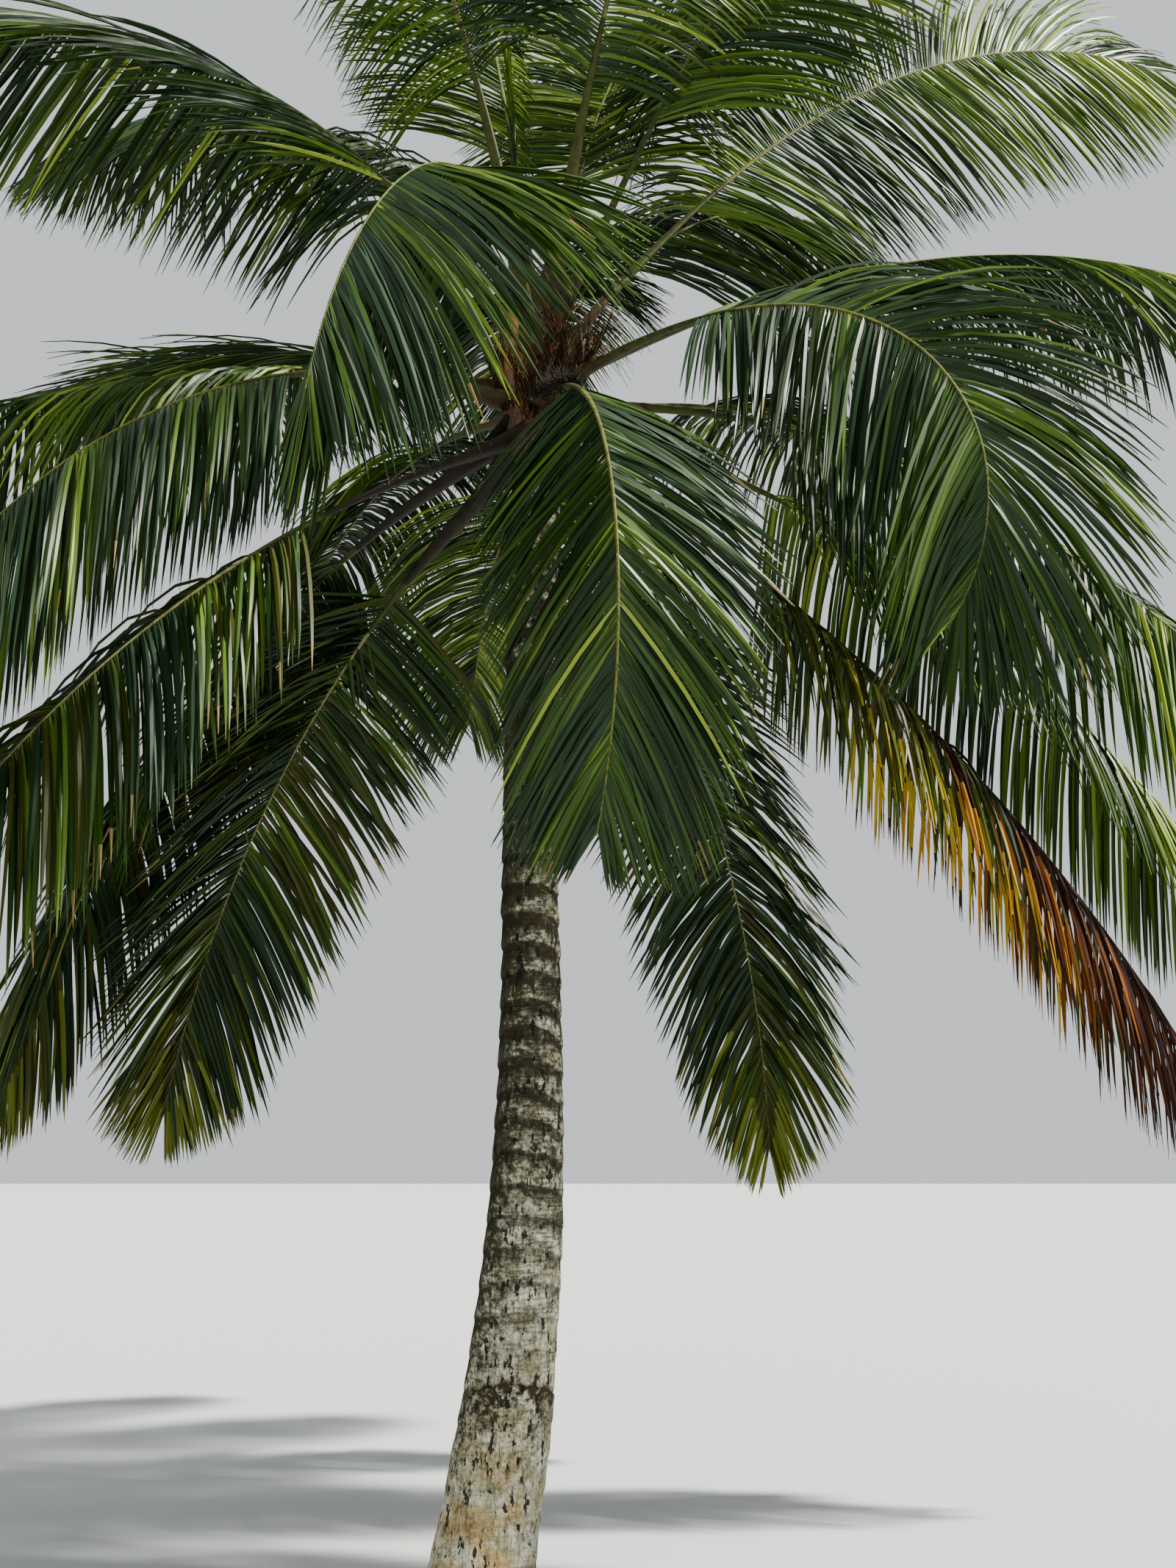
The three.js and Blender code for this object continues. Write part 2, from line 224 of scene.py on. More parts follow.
# %% [markdown]
# ## Bark
# The trunk is pale grey, because sun and salt bleach it. Every fallen frond left a ring scar,
# with a dark brown band under it high up where the scars are young, and worn almost away low
# down. Lichen mottles the bark, black flecks and short upright cracks break it, and it has tan
# patches near the ground. The lichen and grime also spread wider on the side turned from the
# sun, and that is painted shade. The bands must sit on the trunk's own relief, so the mesh
# carries them as values, and the rest are patterns in the object's space, stretched upright.

# %% Bark finish


def bark_finish():
    """Bleached bark with scar bands, lichen, flecks, cracks, tan patches and painted shade on the
    side turned from the sun.
    """
    bark = Finish("bark", Roughness=0.9, Specular_IOR_Level=0.1)
    even = bark.place()
    weather = bark.attribute("weather")
    fine = bark.noise(even, 120, 4, 0.7)
    mottle = bark.noise(even, 38, 8, 0.76)
    streaks = bark.noise(bark.place((1, 1, 0.1)), 95, 5, 0.7)
    level = bark.noise(bark.place((1, 1, 9)), 9, 4, 0.6)

    pale = bark.steps(bark.noise(even, 9, 6, 0.7), [(0.38, 0), (0.6, 1)])
    base = bark.blend(pale, colour(0.40, 0.39, 0.24), colour(0.94, 0.95, 0.74))
    tan = bark.steps(bark.noise(even, 7, 3), [(0.46, 0), (0.58, 1)]) * bark.attribute("old")
    base = bark.blend(tan * 0.8, base, colour(0.60, 0.37, 0.12))
    worn = bark.steps(streaks, [(0.5, 0), (0.62, 1)])
    base = bark.blend(worn * 0.6, base, colour(0.15, 0.13, 0.065))
    # Painted shade: the weather values make the grime and lichen below spread over the side
    # turned from the sun, on top of the real grime and lichen.
    grime_and_shade = bark.steps(bark.noise(even, 15, 8, 0.72) + weather * 0.2, [(0.48, 0), (0.7, 1)])
    base = bark.blend(grime_and_shade * 0.85, base, colour(0.050, 0.053, 0.024))
    lichen_and_shade = bark.steps(mottle + weather * 0.2, [(0.52, 0), (0.64, 1)])
    base = bark.blend(lichen_and_shade * 0.9, base, colour(0.017, 0.019, 0.008))
    lines = bark.steps(level, [(0.54, 0), (0.6, 1)]) * bark.attribute("aged")
    base = bark.blend(lines * 0.7, base, colour(0.05, 0.045, 0.022))
    specks = bark.steps(fine, [(0.55, 0), (0.63, 1)])
    base = bark.blend(specks * 0.55, base, colour(0.09, 0.08, 0.04))

    band = bark.attribute("band") * bark.steps(mottle, [(0.3, 0.55), (0.5, 1)])
    base = bark.blend(band * 0.97, base, colour(0.012, 0.011, 0.005))
    wet = bark.attribute("stain") * bark.steps(mottle, [(0.4, 0.3), (0.58, 1)])
    base = bark.blend(wet * 0.9, base, colour(0.03, 0.024, 0.012))

    seen = bark.steps(bark.noise(even, 9, 2), [(0.38, 0), (0.5, 1)])
    splits = bark.steps(streaks, [(0.64, 0), (0.69, 1)]) * seen
    pits = bark.noise(bark.place((1, 1, 0.42)), 40, 3, 0.6)
    flecks = bark.steps(pits, [(0.58, 0), (0.61, 1)]) * seen
    marks = bark.steps(splits * 0.8 + flecks, [(0.25, 0), (0.8, 1)])
    base = bark.blend(marks * 0.95, base, colour(0.010, 0.008, 0.006))

    bark.feed("Base Color", base)
    relief = fine * 0.5 + mottle * 0.6 - flecks * 1.3 - splits * 0.8 - lines * 0.6
    bark.bump(relief, 0.9, 0.007)
    return bark.material


BARK = bark_finish()
print("bark nodes:", len(BARK.node_tree.nodes))

# %% [markdown]
# ## Trunk
# The real trunk grew ring by ring, so it is modelled the same way: a flat disc on the ground
# is extruded upwards a ring at a time, and each new ring is resized and moved along the
# trunk's leaning line. Each scar takes a few rings: a groove, a lip that stands out over
# it and a slow taper back. A subdivision rounds them. Then every point is moved a little, so
# the rings arch up at the front and wander, and no side is smooth. A ledge low down has a dark
# stain running down from it.

# %% Trunk sizes
TRUNK_LINE = [
    (0.0, 0.0),
    (0.094, 0.63),
    (0.151, 1.19),
    (0.174, 1.78),
    (0.172, 2.39),
    (0.163, 2.88),
    (0.165, 3.57),
    (0.183, 4.45),
]
TRUNK_TOP = 4.45
TRUNK_TOP_RADIUS = 0.098
TRUNK_SWELL = 0.092
TRUNK_SWELL_HEIGHT = 1.7
FLARE = 0.036
FLARE_HEIGHT = 0.07
TRUNK_SIDES = 72
SCARS = 38
SCAR_RINGS = [
    (0.0, -0.004),
    (0.07, 0.002),
    (0.15, 0.005),
    (0.3, 0.004),
    (0.54, 0.0015),
    (0.8, -0.001),
]
SCAR_FADES = (0.5, 2.3)
LEDGE_HEIGHT = 0.7
LEDGE_STEP = 0.013
LEDGE_SIDE = -1.2


def trunk_middle(height):
    """The offset of the trunk's middle at a height, on a smooth line through its named points."""
    offsets, heights = np.array(TRUNK_LINE).T
    slopes = np.gradient(offsets, heights)
    i = int(np.clip(np.searchsorted(heights, height) - 1, 0, len(heights) - 2))
    step = heights[i + 1] - heights[i]
    t = (height - heights[i]) / step
    start = (1 + 2 * t) * (1 - t) ** 2 * offsets[i] + t * (1 - t) ** 2 * step * slopes[i]
    return start + t * t * (3 - 2 * t) * offsets[i + 1] + t * t * (t - 1) * step * slopes[i + 1]


def trunk_radius(height):
    swell = TRUNK_SWELL * math.exp(-((height / TRUNK_SWELL_HEIGHT) ** 1.5))
    return TRUNK_TOP_RADIUS + swell + FLARE * math.exp(-height / FLARE_HEIGHT)


def trunk_rings():
    """Height and radius of every ring, from the ground up."""
    rings = []
    for scar in range(SCARS):
        pitch = TRUNK_TOP / SCARS
        for share, relief in SCAR_RINGS:
            height = (scar + share) * pitch
            strength = np.interp(height, SCAR_FADES, (0.45, 1.0))
            rings.append((height, trunk_radius(height) + relief * strength))
    rings.append((TRUNK_TOP, TRUNK_TOP_RADIUS))
    return rings


print("rings in the trunk:", len(trunk_rings()))

# %% Stack rings as by hand


def select_none():
    if bpy.context.object and bpy.context.object.mode != "OBJECT":
        bpy.ops.object.mode_set(mode="OBJECT")
    bpy.ops.object.select_all(action="DESELECT")


def stack_rings(name, rings, middle_of, sides):
    """Extrudes a disc through rings of height and radius, each about its own middle."""
    select_none()
    height, radius = rings[0]
    spot = (middle_of(height), 0, height)
    bpy.ops.mesh.primitive_circle_add(
        vertices=sides, radius=radius, fill_type="NGON", location=spot
    )
    made = bpy.context.object
    made.name = name
    bpy.ops.object.transform_apply(location=True, rotation=False, scale=False)
    bpy.ops.object.mode_set(mode="EDIT")
    bpy.ops.mesh.select_all(action="SELECT")
    for (low, before), (high, after) in zip(rings, rings[1:]):
        move = (middle_of(high) - middle_of(low), 0, high - low)
        bpy.ops.mesh.extrude_region_move(TRANSFORM_OT_translate={"value": move})
        grow = after / before
        bpy.ops.transform.resize(
            value=(grow, grow, 1), center_override=(middle_of(high), 0, high)
        )
    bpy.ops.mesh.select_all(action="SELECT")
    bpy.ops.mesh.normals_make_consistent(inside=False)
    bpy.ops.object.mode_set(mode="OBJECT")
    return made


def add_modifier(piece, kind, **settings):
    """Adds a modifier with its settings and applies it."""
    select_none()
    piece.select_set(True)
    bpy.context.view_layer.objects.active = piece
    modifier = piece.modifiers.new(kind.lower(), kind)
    for setting, value in settings.items():
        setattr(modifier, setting, value)
    bpy.ops.object.modifier_apply(modifier=modifier.name)


def points_of(piece):
    flat = np.empty(len(piece.data.vertices) * 3)
    piece.data.vertices.foreach_get("co", flat)
    return flat.reshape(-1, 3)


def set_points(piece, points):
    piece.data.vertices.foreach_set("co", points.ravel())
    piece.data.update()


def noise_at(points, scale):
    """Smooth noise between -1 and 1 at each point, with a scale for each axis."""
    return np.array([noise.noise(Vector(point)) for point in (points * scale).tolist()])


def paint(piece, name, values):
    """Keeps one value for each point, which a finish reads by name."""
    layer = piece.data.attributes.new(name, "FLOAT", "POINT")
    layer.data.foreach_set("value", np.asarray(values, dtype=np.float32))


def finish_piece(piece, material, slot, *nodes):
    """Smooths a piece, gives it its finish and lets it stand for its solids."""
    piece.data.materials.clear()
    piece.data.materials.append(material)
    select_none()
    piece.select_set(True)
    bpy.context.view_layer.objects.active = piece
    bpy.ops.object.shade_smooth()
    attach(piece, "root")
    if nodes:
        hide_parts(*nodes)


print("hand tools are ready")

# %% Scar bands and the ledge
BAND_EDGE = 0.22
BAND_OVER = 0.05
LEDGE_EDGE = 0.012
LEDGE_FADE = 0.22


def scar_bands(heights, blotch):
    """How far each point lies in the dark band under a scar, wider and darker high up."""
    phase = (heights / TRUNK_TOP * SCARS) % 1.0
    width = np.interp(heights, (0.6, 2.0), (0.35, 0.62)) * (1 + 0.6 * blotch)
    band = np.clip((phase - 1 + width) / BAND_EDGE, 0, 1) + np.clip(1 - phase / BAND_OVER, 0, 1)
    return np.clip(band, 0, 1) * np.interp(heights, (0.6, 1.0, 1.5), (0.15, 0.6, 1.0))


def ledge_stain(below, around, blotch):
    """The dark stain that runs down from the ledge and creeps a little above it."""
    under = np.clip(below, 0, None)
    over = np.clip(-below, 0, None)
    drip = np.exp(-under / (0.02 + 0.12 * np.clip(blotch + 0.2, 0, 1)))
    drip += 0.6 * np.exp(-under / 0.15) + 0.6 * np.exp(-over / 0.03)
    facing = np.clip(np.cos(around - LEDGE_SIDE) * 1.6, 0, 1)
    return np.where(below > 0, 1.0, 0.5) * drip * (0.35 + 0.65 * facing)


def ledge_relief(below, around):
    """The step out at the ledge, which fades downwards and round the back."""
    ledge = np.clip(below / LEDGE_EDGE, 0, 1) * np.exp(-np.clip(below, 0, None) / LEDGE_FADE)
    return LEDGE_STEP * ledge * np.clip(np.cos(around - LEDGE_SIDE) + 0.3, 0, 1)


print("the ledge stands at", LEDGE_HEIGHT)

# %% Trunk mesh
RING_ARCH = 0.05
RING_WANDER = 0.014
ARCH_SIDE = -1.75
FISSURE = 0.0022
LUMP = 0.004
SUNNY_SIDE = -0.6
CLIMATE_HEIGHTS = (0.2, 0.68, 0.71, 1.1, 1.6, 2.6)
CLIMATE = (-0.8, -0.1, -0.4, 0.0, 0.5, 0.7)


def add_trunk():
    """The trunk with its scars, wandering rings and fissures."""
    trunk = stack_rings("trunk_bark", trunk_rings(), trunk_middle, TRUNK_SIDES)
    add_modifier(trunk, "SUBSURF", levels=1, render_levels=1)
    points = points_of(trunk)
    heights = points[:, 2].copy()
    middles = np.array([trunk_middle(height) for height in heights])
    around = np.arctan2(points[:, 1], points[:, 0] - middles)
    inside = np.clip(np.hypot(points[:, 0] - middles, points[:, 1]) / 0.08, 0, 1)
    ends = np.clip(heights / 0.2, 0, 1) * np.clip((TRUNK_TOP - heights) / 0.2, 0, 1)

    uneven = noise_at(points, (3.0, 3.0, 5.0))
    blotch = noise_at(points, (11.0, 11.0, 4.0))
    below = LEDGE_HEIGHT - heights
    paint(trunk, "band", scar_bands(heights, blotch) * inside)
    paint(trunk, "old", np.clip(1.15 - heights / 0.8, 0, 1))
    paint(trunk, "aged", np.interp(heights, (0.5, 1.2), (0.25, 0.9)) * inside)
    # Painted shade: the side turned from the sun gets more dark grime and lichen, and more so
    # higher up.
    shaded = np.clip(0.35 - 0.75 * np.cos(around - SUNNY_SIDE), 0, 1.1)
    climate = np.interp(heights, CLIMATE_HEIGHTS, CLIMATE)
    paint(trunk, "weather", 0.5 * climate + shaded * np.interp(heights, (0.3, 0.9), (0.5, 1.0)))
    paint(trunk, "stain", ledge_stain(below, around, blotch))

    slant = 0.6 * np.sin(around + 2.3 * heights) + 0.4 * np.sin(2 * around - 4.1 * heights)
    arch = RING_ARCH * np.cos(around - ARCH_SIDE)
    points[:, 2] += (arch + RING_WANDER * (slant + uneven)) * ends
    fissures = noise_at(points, (55, 55, 9)) + 0.6 * noise_at(points, (110, 110, 22))
    lumps = noise_at(points, (7, 7, 5))
    relief = FISSURE * fissures + LUMP * lumps + ledge_relief(below, around)
    out = np.stack([np.cos(around), np.sin(around)], axis=1)
    points[:, :2] += out * (relief * inside * np.clip(heights / 0.03, 0, 1))[:, None]
    set_points(trunk, points)
    finish_piece(trunk, BARK, "bark", "trunk")
    return trunk


trunk = add_trunk()
print("trunk faces:", len(trunk.data.polygons))

# %% [markdown]
# ## How a frond grows
# A frond starts inside the heart, leaves it at an angle and bows down under its own weight.
# So a frond needs only a few plain numbers: where it heads, how steeply it rises, how far it
# has turned down at its end, whether it bends early or late, how long it is and how high on
# the heart it sits. Everything else follows from these by one rule: the rib's line is the sum
# of small steps, and each leaflet leaves the rib at an angle that closes towards the tip,
# then hangs down as far as its length makes it limp.

# %% Frond sizes
HEART_X = 0.183
HEART_FOOT = 4.45
SEAT_RADIUS = 0.07
FROND_LENGTH = 4.3
FROND_LATE = 1.4
PETIOLE = 0.24
SPLIT_BEND = 85
RIB_STEPS = 48
# Fronds of the age full get a darker deal of leaf paints, and that is painted shade.
FRONDS = [
    dict(heading=185, rise=60, bend=96, late=1.3, seat=0.52, lift=-40, limp=0.5, leaf=1.15),
    dict(heading=263, rise=56, bend=133, length=3.2, late=0.6, sway=-17,
         seat=0.38, roll=20, lift=-40, limp=0.8),
    dict(heading=283, rise=-13, bend=124, length=2.9, seat=0.25,
         roll=20, lift=-30, limp=0.8, leaf=0.85, age="full"),
    dict(heading=62, rise=-23, bend=64, length=4.1, late=1.3, seat=0.11,
         lift=-10, limp=1, leaf=0.93, age="old"),
    dict(heading=17, rise=-22, bend=39, length=4.5, late=0.9, seat=0.11,
         roll=20, lift=-20, limp=4, leaf=0.88, age="turning"),
    dict(heading=18, rise=0, bend=58, late=0.8, seat=0.21, lift=-20, limp=3, age="young"),
    dict(heading=348, rise=4, bend=68, late=0.7, seat=0.26, roll=40, lift=-10, limp=3.2),
    dict(heading=328, rise=17, bend=146, length=3, late=1.5, seat=0.34,
         roll=60, lift=-5, limp=1.1, age="full"),
    dict(heading=9, rise=31, bend=66, late=1.6, seat=0.4, roll=30, lift=-15, limp=1.8),
    dict(heading=14, rise=53, bend=55, late=1.8, sway=8, seat=0.54,
         roll=80, lift=-12, limp=0.8, age="young"),
    dict(heading=346, rise=66, bend=45, late=1.8, seat=0.64, roll=75,
         lift=-15, limp=0.8, leaf=1.15, age="young"),
    dict(heading=112, rise=76, bend=30, length=4.4, seat=0.7, lift=5, limp=1, age="young"),
    dict(heading=67, rise=74, bend=42, seat=0.6, lift=5, limp=1, age="young"),
    dict(heading=140, rise=27, bend=26, length=4, sway=-5, seat=0.38, lift=-5, limp=0.8),
    dict(heading=172, rise=23, bend=52, length=4.2, late=0.75, seat=0.33, lift=-20, limp=3.5),
    dict(heading=200, rise=24, bend=120, length=4.2, late=0.75, seat=0.24, lift=-30, limp=3),
    dict(heading=195, rise=-20, bend=55, late=0.9, seat=0.11,
         roll=-40, lift=-10, limp=3, age="old"),
    dict(heading=136, rise=-19, bend=55, length=4, late=1,
         seat=0.08, lift=-15, limp=0.5, age="old"),
    dict(heading=151, rise=-13, bend=58, late=0.85, sway=4, seat=0.17,
         roll=-15, lift=-10, limp=1.8, age="old"),
    dict(heading=100, rise=7, bend=42, length=3, seat=0.17, age="young"),
    dict(heading=228, rise=74, bend=62, late=1.6, seat=0.69, age="young"),
    dict(heading=44, rise=62, bend=84, length=3.9, seat=0.41, roll=45, lift=-10, limp=1),
    dict(heading=96, rise=50, bend=75, seat=0.52, roll=-20),
    dict(heading=78, rise=14, bend=75, seat=0.3, roll=20, limp=2.5),
    dict(heading=120, rise=20, bend=75, length=4.2, seat=0.27, roll=-30, limp=2.5),
    dict(heading=149, rise=62, bend=72, length=4.2, seat=0.54, roll=-25, limp=2),
    dict(heading=42, rise=26, bend=66, seat=0.25, roll=25, limp=2),
    dict(heading=300, rise=71, bend=60, late=1.6, seat=0.64, age="young"),
    dict(heading=168, rise=87, bend=4, length=2.7, seat=0.78, leaf=0.3, age="young"),
]
print("fronds:", len(FRONDS))

# %% The rule of a rib
LEAF_LONG = 0.98
LEAF_SPREAD_FOOT = 72
LEAF_SPREAD_TIP = 16
LEAF_SPREAD_LATE = 1.6
LEAF_LIFT = 10
LEAF_LIMP = 1.6
LEAF_FOOT_LONG = 0.8
ROLL_END = 0.4
DOWN = np.array([0.0, 0.0, -1.0])


def unit(vectors):
    return vectors / np.linalg.norm(vectors, axis=-1, keepdims=True)


class Rib:
    """The rib's middle line, and the frame and leaflet size at any share of its length."""

    def __init__(self, heading, rise, bend, seat, length=FROND_LENGTH, late=FROND_LATE,
                 sway=0, roll=0, lift=LEAF_LIFT, limp=LEAF_LIMP, leaf=1, age="green"):
        self.heading, self.rise, self.bend, self.late = heading, rise, bend, late
        self.length, self.sway, self.roll = length, sway, roll
        self.lift, self.limp, self.leaf, self.age = lift, limp, leaf, age
        turn = math.radians(heading)
        start = [HEART_X + SEAT_RADIUS * math.cos(turn), SEAT_RADIUS * math.sin(turn)]
        self.shares = np.linspace(0, 1, RIB_STEPS + 1)
        along, _, _ = self.frames((np.arange(RIB_STEPS) + 0.5) / RIB_STEPS)
        run = np.vstack([np.zeros(3), np.cumsum(along * length / RIB_STEPS, axis=0)])
        self.points = np.array([*start, HEART_FOOT + seat]) + run

    def frames(self, shares):
        """Unit vectors along the rib, up from its top face and out to its right side."""
        slope = np.radians(self.rise - self.bend * shares**self.late)
        turn = np.radians(self.heading + self.sway * shares**1.3)
        east, north = np.cos(turn), np.sin(turn)
        along = np.stack([np.cos(slope) * east, np.cos(slope) * north, np.sin(slope)], axis=-1)
        plumb = np.stack([-np.sin(slope) * east, -np.sin(slope) * north, np.cos(slope)], axis=-1)
        level = np.cross(along, plumb)
        roll = np.radians(self.roll * np.clip(shares / ROLL_END, 0, 1))[:, None]
        up = np.cos(roll) * plumb + np.sin(roll) * level
        return along, up, np.cos(roll) * level - np.sin(roll) * plumb

    def at(self, shares):
        axes = [np.interp(shares, self.shares, self.points[:, axis]) for axis in range(3)]
        return np.stack(axes, axis=-1)

    def leaf_lengths(self, shares):
        far = (shares - PETIOLE) / (1 - PETIOLE)
        full = np.sin(math.pi / 2 * np.clip(far / 0.7, 0, 1) ** 0.8)
        rise = LEAF_FOOT_LONG + (1 - LEAF_FOOT_LONG) * full
        fall = 0.72 * np.clip((far - 0.7) / 0.3, 0, 1) ** 1.3
        return LEAF_LONG * self.leaf * (rise - fall)


ribs = [Rib(**frond) for frond in FRONDS]
print("lowest rib end:", round(min(rib.points[-1][2] for rib in ribs), 2))

# %% [markdown]
# ## Colours of a frond
# Leaflets stay one even colour each, because a leaf is too narrow to show a pattern, but no
# two neighbours are quite alike. So there are several plain leaf paints, dealt out leaflet by
# leaflet, in drifts of tone: young fronds get more of the light greens, and old ones more of
# the dark. The palest green is painted light: it stands for sun shining through a leaflet. The
# two fronds of the age full get a darker deal, as painted shade. The ends of old fronds go
# lime, and one frond is turning, from olive through yellow, orange and rust to brown. The waxy
# top of a leaf gives it a gloss, so that it glints where it faces the sun.

# %% Leaf and rib paints
LEAF_PAINTS = {
    "deep": (0.007, 0.020, 0.002),
    "leaf": (0.021, 0.050, 0.004),
    "fresh": (0.062, 0.115, 0.008),
    # Painted light: this palest green stands for sun shining through a leaflet.
    "light": (0.190, 0.260, 0.022),
    "cool": (0.010, 0.028, 0.010),
    "olive": (0.036, 0.040, 0.004),
    "lime": (0.110, 0.130, 0.008),
    "yellow": (0.36, 0.26, 0.010),
    "amber": (0.34, 0.155, 0.007),
    "orange": (0.17, 0.053, 0.003),
    "rust": (0.055, 0.017, 0.005),
    "brown": (0.024, 0.011, 0.008),
    "straw": (0.20, 0.15, 0.05),
}
DRY_PAINTS = ("amber", "orange", "rust", "brown", "straw")
RIB_PAINTS = {
    "foot": (0.042, 0.032, 0.011),
    # Painted shade: this nearly black stalk paint stands for old petioles seen in shade.
    "old_stalk": (0.014, 0.010, 0.005),
    "stalk": (0.040, 0.047, 0.009),
    "spine": (0.120, 0.125, 0.026),
    "pale_spine": (0.19, 0.18, 0.07),
    "dry_spine": (0.06, 0.035, 0.014),
}
LEAF_NAMES = list(LEAF_PAINTS)
RIB_NAMES = list(RIB_PAINTS)


def leaf_paint(name, tint):
    dry = name in DRY_PAINTS
    made = Finish("leaf_" + name, Roughness=0.6 if dry else 0.4)
    made.shader.inputs["Base Color"].default_value = colour(*tint)
    made.shader.inputs["Specular IOR Level"].default_value = 0.05 if dry else 0.16
    return made.material


def rib_paint(name, tint, roughness=0.55):
    """A rib's paint with darker scuffs along it."""
    made = Finish("rib_" + name, Roughness=roughness)
    made.shader.inputs["Specular IOR Level"].default_value = 0.12
    scuffs = made.steps(made.noise(made.place(), 24, 6, 0.7), [(0.46, 0), (0.62, 1)])
    dark = [0.3 * part for part in tint]
    made.feed("Base Color", made.blend(scuffs * 0.7, colour(*tint), colour(*dark)))
    return made.material


LEAF_FINISHES = [leaf_paint(name, tint) for name, tint in LEAF_PAINTS.items()]
RIB_FINISHES = [rib_paint(name, tint) for name, tint in RIB_PAINTS.items()]
print("paints:", LEAF_NAMES + RIB_NAMES)

# %% Who gets which paint
CLUMPS = 16
DEALS = {
    # Painted light: the young deal gives the most of the palest green, which stands for sun
    # shining through the leaflets.
    "young": {"cool": 1, "deep": 1, "leaf": 5, "fresh": 5, "light": 1.8},
    "green": {"cool": 2, "deep": 4, "leaf": 6, "fresh": 2.2, "light": 0.5},
    # Painted shade: the full deal leans to the dark paints for fronds that hang in shade.
    "full": {"cool": 4, "deep": 6, "leaf": 5, "fresh": 0.8, "light": 0.25},
    "old": {"cool": 3, "deep": 5, "leaf": 4, "olive": 2.5, "fresh": 1},
    "turning": {"deep": 4, "leaf": 4, "olive": 5, "fresh": 1.5},
}
DRY_TIPS = {"young": 0.01, "green": 0.03, "full": 0.03, "old": 0.1, "turning": 0.3}
TURNS = {
    "old": [(0.85, "olive", "lime", 2)],
    "turning": [
        (0.36, "olive", "lime", 2),
        (0.41, "olive", "yellow", 3),
        (0.53, "brown", "amber", 3),
        (0.6, "brown", "orange", 2),
        (0.64, "brown", "rust", 2),
        (0.74, "brown", "brown", 0),
    ],
}
STAYS_GREEN = 0.18
GREEN_END = 0.75
TURN_WOBBLE = 0.07


def deal_paints(rib, shares, segments, rng):
    """A paint for every leaflet and every segment of it, from rib to tip.

    A deal lists its paints from dark to light, and neighbours tend to share a tone."""
    deal = DEALS[rib.age]
    limits = np.cumsum(list(deal.values())) / sum(deal.values())
    kinds = np.array([LEAF_NAMES.index(name) for name in deal])
    tone = np.interp(shares, np.linspace(0.2, 1, CLUMPS), rng.normal(0, 1.2, CLUMPS))
    tone += rng.normal(0, 1, len(shares))
    rank = (np.argsort(np.argsort(tone)) + 0.5) / len(tone)
    paints = np.repeat(kinds[np.searchsorted(limits, rank)][:, None], segments, axis=1)
    wobble = shares + rng.normal(0, TURN_WOBBLE, len(shares))
    wobble[(rng.random(len(shares)) < STAYS_GREEN) & (shares < GREEN_END)] = 0
    for start, near, far, first in TURNS.get(rib.age, []):
        if near:
            paints[wobble > start, :first] = LEAF_NAMES.index(near)
        paints[wobble > start, first:] = LEAF_NAMES.index(far)
    dry = rng.random(len(shares)) < DRY_TIPS[rib.age]
    paints[dry, -1:] = LEAF_NAMES.index("brown" if rib.age == "turning" else "straw")
    return paints


print("deals:", list(DEALS))

# %% [markdown]
# ## Leaflets
# A coconut leaflet is a strap about a metre long and two fingers wide, folded along its
# middle like a roof, with a fine point. A frond carries a hundred or two on each side.
# Modelling each by hand would never end, so their midlines are worked out all at once, and
# every midline gets a section of four corners: two edges, the ridge and the underside. That
# makes a closed strap of a few faces. Small random turns keep the rows from looking combed.

# %% Leaflet shape
LEAVES_A_SIDE = 220
LEAF_FIRST = 0.245
LEAF_LAST = 0.99
LEAF_WIDE = {"young": 0.018, "green": 0.0205, "full": 0.023, "old": 0.026, "turning": 0.021}
LEAF_THICK = 0.0022
LEAF_FOLD = 0.6
LEAF_STATIONS = np.array([0.0, 0.1, 0.27, 0.47, 0.67, 0.85, 1.0])
LEAF_WIDTHS = np.array([0.5, 0.92, 1.0, 1.0, 0.88, 0.54, 0.04])
LEAF_ROLL = 12
ROLL_LOOSE = 15
TWIST_LOOSE = 0.35
SPREAD_DRIFT = 2
SPREAD_LOOSE = 3.2
LIFT_DRIFT = 3
LIFT_LOOSE = 6.5
WITHERS = (0.62, 0.88)
LOOSE = {"young": 0.6, "green": 0.8, "full": 0.7, "old": 1.0, "turning": 1.1}


def leaf_midlines(rib, shares, side, rng):
    """Points, directions and up vectors along each leaflet's midline."""
    count = len(shares)
    along, up, right = rib.frames(shares)
    drift = np.interp(shares, np.linspace(0.2, 1, CLUMPS), rng.normal(0, 1, CLUMPS))
    far = (shares - PETIOLE) / (1 - PETIOLE)
    spread = LEAF_SPREAD_FOOT + (LEAF_SPREAD_TIP - LEAF_SPREAD_FOOT) * far**LEAF_SPREAD_LATE
    loose = LOOSE[rib.age]
    spread = spread + SPREAD_DRIFT * drift + loose * rng.normal(0, SPREAD_LOOSE, count)
    spread = np.radians(spread)[:, None]
    lift = rib.lift + LIFT_DRIFT * drift + loose * rng.normal(0, LIFT_LOOSE, count)
    lift = np.radians(lift)[:, None]
    start = np.cos(spread) * along + np.sin(spread) * (
        np.cos(lift) * side * right + np.sin(lift) * up
    )
    lengths = rib.leaf_lengths(shares) * rng.uniform(0.9, 1.0, count)
    limp = rib.limp * lengths * (1 + loose * rng.uniform(-0.3, 0.35, count)) * (1 - 0.12 * drift)
    points, ways = [rib.at(shares)], []
    for low, high in zip(LEAF_STATIONS, LEAF_STATIONS[1:]):
        way = unit(start + DOWN * (limp * ((low + high) / 2) ** 1.2)[:, None])
        points.append(points[-1] + way * (lengths * (high - low))[:, None])
        ways.append(way)
    ways = [start, *[unit(a + b) for a, b in zip(ways, ways[1:])], ways[-1]]
    normals = [unit(np.cross(start, along) * side)]
    for way in ways[1:]:
        kept = np.sum(normals[-1] * way, axis=-1, keepdims=True)
        normals.append(unit(normals[-1] - way * kept))
    return np.stack(points, axis=1), np.stack(ways, axis=1), np.stack(normals, axis=1)


